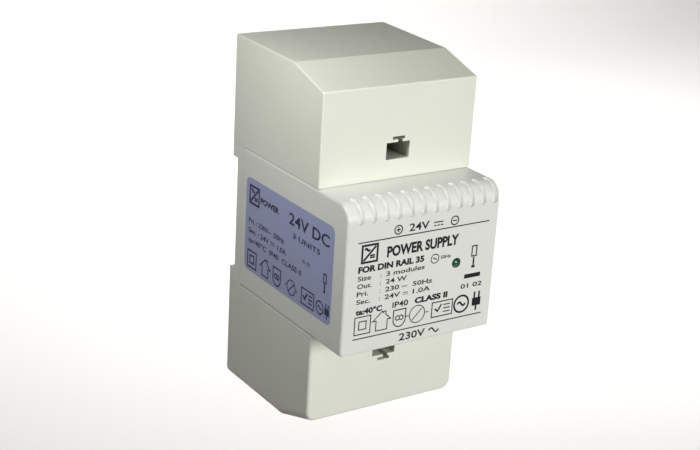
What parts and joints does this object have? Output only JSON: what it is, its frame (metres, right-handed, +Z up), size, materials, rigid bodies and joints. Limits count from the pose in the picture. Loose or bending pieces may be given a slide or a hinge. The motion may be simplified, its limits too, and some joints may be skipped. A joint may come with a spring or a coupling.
{
  "type": "din rail power supply",
  "caption": "Modular power supply that clips on a 35 mm mounting rail, with removable terminal covers above and below a raised middle block, screw terminals and a status light",
  "frame": {"origin": "centre of the rail seat: the middle of the rail's width, on the plane where the rail's flanges bear, half way across the unit", "axes": "+Z up along the case's length, +X to the right across the rail's length seen from the front, -Y out of the printed face"},
  "size_m": [0.0524, 0.0648, 0.1126],
  "materials": {
    "housing_plastic": "fine-grained moulded light ivory grey",
    "cover_plastic": "fine-grained moulded light ivory grey",
    "label_film": "printed satin film, lilac blue",
    "latch_plastic": "moulded, dark grey",
    "spring_steel": "drawn wire",
    "green_lens": "clear tinted green",
    "black_plastic": "moulded",
    "tinned_wire": "tinned",
    "terminal_plastic": "moulded, glass filled, dark grey",
    "tinned_copper": "tinned strip",
    "board_laminate": "green solder resist",
    "plated_steel": "zinc plated",
    "clear_film": "milky film",
    "fuse_glass": "clear tube",
    "nickel_plate": "nickel plated",
    "black_epoxy": "moulded epoxy",
    "blue_epoxy": "dipped epoxy",
    "capacitor_case": "moulded box, ochre",
    "ferrite": "sintered, dark grey",
    "copper_wire": "enamelled copper",
    "black_sleeve": "shrunk sleeve",
    "grey_pad": "silicone pad",
    "heatsink_metal": "mill finish",
    "yellow_tape": "polyester tape"
  },
  "bodies": {
    "housing": {"base_housing": "housing_plastic", "board_screws": "plated_steel", "bridge_rectifier": "black_epoxy", "bulk_capacitor": "black_sleeve", "choke_base": "black_plastic", "choke_core": "ferrite", "choke_windings": "copper_wire", "circuit_board": "board_laminate", "control_chip": "black_epoxy", "diode_screw": "plated_steel", "filter_capacitor": "capacitor_case", "front_housing": "housing_plastic", "fuse_caps": "nickel_plate", "fuse_clips": "nickel_plate", "fuse_wire": "tinned_wire", "inductor_core": "ferrite", "inductor_winding": "copper_wire", "input_contact_bars": "tinned_copper", "input_terminal_block": "terminal_plastic", "inrush_thermistor": "black_epoxy", "insulating_sheet": "clear_film", "latch_spring": "spring_steel", "led_legs": "tinned_wire", "led_spacer": "black_plastic", "mains_fuse": "fuse_glass", "optocoupler": "black_epoxy", "output_capacitors": "black_sleeve", "output_contact_bars": "tinned_copper", "output_diode": "black_epoxy", "output_heatsink": "heatsink_metal", "output_terminal_block": "terminal_plastic", "primary_heatsink": "heatsink_metal", "safety_capacitor": "blue_epoxy", "side_label": "label_film", "status_led": "green_lens", "surface_mount_parts": "black_epoxy", "switching_transistor": "black_epoxy", "transformer_bobbin": "black_plastic", "transformer_core": "ferrite", "transformer_tape": "yellow_tape", "transformer_winding": "copper_wire", "transistor_insulator": "grey_pad", "transistor_screw": "plated_steel", "varistor": "blue_epoxy"},
    "upper_cover": {"upper_terminal_cover": "cover_plastic"},
    "lower_cover": {"lower_terminal_cover": "cover_plastic"},
    "latch": {"rail_latch": "latch_plastic"},
    "output_left_screw": {"output_left_clamp_screw": "plated_steel"},
    "output_left_cage": {"output_left_clamp_cage": "plated_steel"},
    "output_right_screw": {"output_right_clamp_screw": "plated_steel"},
    "output_right_cage": {"output_right_clamp_cage": "plated_steel"},
    "input_left_screw": {"input_left_clamp_screw": "plated_steel"},
    "input_left_cage": {"input_left_clamp_cage": "plated_steel"},
    "input_right_screw": {"input_right_clamp_screw": "plated_steel"},
    "input_right_cage": {"input_right_clamp_cage": "plated_steel"}
  },
  "joints": [
    {"name": "upper_cover_off", "type": "slide", "parent": "housing", "child": "upper_cover", "axis": [0, -1, 0], "range_m": [0, 0.07]},
    {"name": "lower_cover_off", "type": "slide", "parent": "housing", "child": "lower_cover", "axis": [0, -1, 0], "range_m": [0, 0.07]},
    {"name": "latch_pull", "type": "slide", "parent": "housing", "child": "latch", "axis": [0, 0, -1], "range_m": [0, 0.0045], "stiffness_N_per_m": 400, "springref_m": -0.003, "deforming": ["latch_spring"]},
    {"name": "output_left_turn", "type": "hinge", "parent": "housing", "child": "output_left_screw", "pos_m": [-0.0097, -0.0282, 0.0399], "axis": [0, 1, 0], "range_deg": [0, 1800.01]},
    {"name": "output_left_rise", "type": "slide", "parent": "housing", "child": "output_left_cage", "axis": [0, -1, 0], "range_m": [0, 0.0025]},
    {"name": "output_right_turn", "type": "hinge", "parent": "housing", "child": "output_right_screw", "pos_m": [0.0097, -0.0282, 0.0399], "axis": [0, 1, 0], "range_deg": [0, 1800.01]},
    {"name": "output_right_rise", "type": "slide", "parent": "housing", "child": "output_right_cage", "axis": [0, -1, 0], "range_m": [0, 0.0025]},
    {"name": "input_left_turn", "type": "hinge", "parent": "housing", "child": "input_left_screw", "pos_m": [-0.0097, -0.0282, -0.0399], "axis": [0, 1, 0], "range_deg": [0, 1800.01]},
    {"name": "input_left_rise", "type": "slide", "parent": "housing", "child": "input_left_cage", "axis": [0, -1, 0], "range_m": [0, 0.0025]},
    {"name": "input_right_turn", "type": "hinge", "parent": "housing", "child": "input_right_screw", "pos_m": [0.0097, -0.0282, -0.0399], "axis": [0, 1, 0], "range_deg": [0, 1800.01]},
    {"name": "input_right_rise", "type": "slide", "parent": "housing", "child": "input_right_cage", "axis": [0, -1, 0], "range_m": [0, 0.0025]}
  ],
  "couplings": [
    {"joint": "output_left_turn", "follows": "output_left_rise", "rad_per_m": 12566},
    {"joint": "output_right_turn", "follows": "output_right_rise", "rad_per_m": 12566},
    {"joint": "input_left_turn", "follows": "input_left_rise", "rad_per_m": 12566},
    {"joint": "input_right_turn", "follows": "input_right_rise", "rad_per_m": 12566}
  ]
}
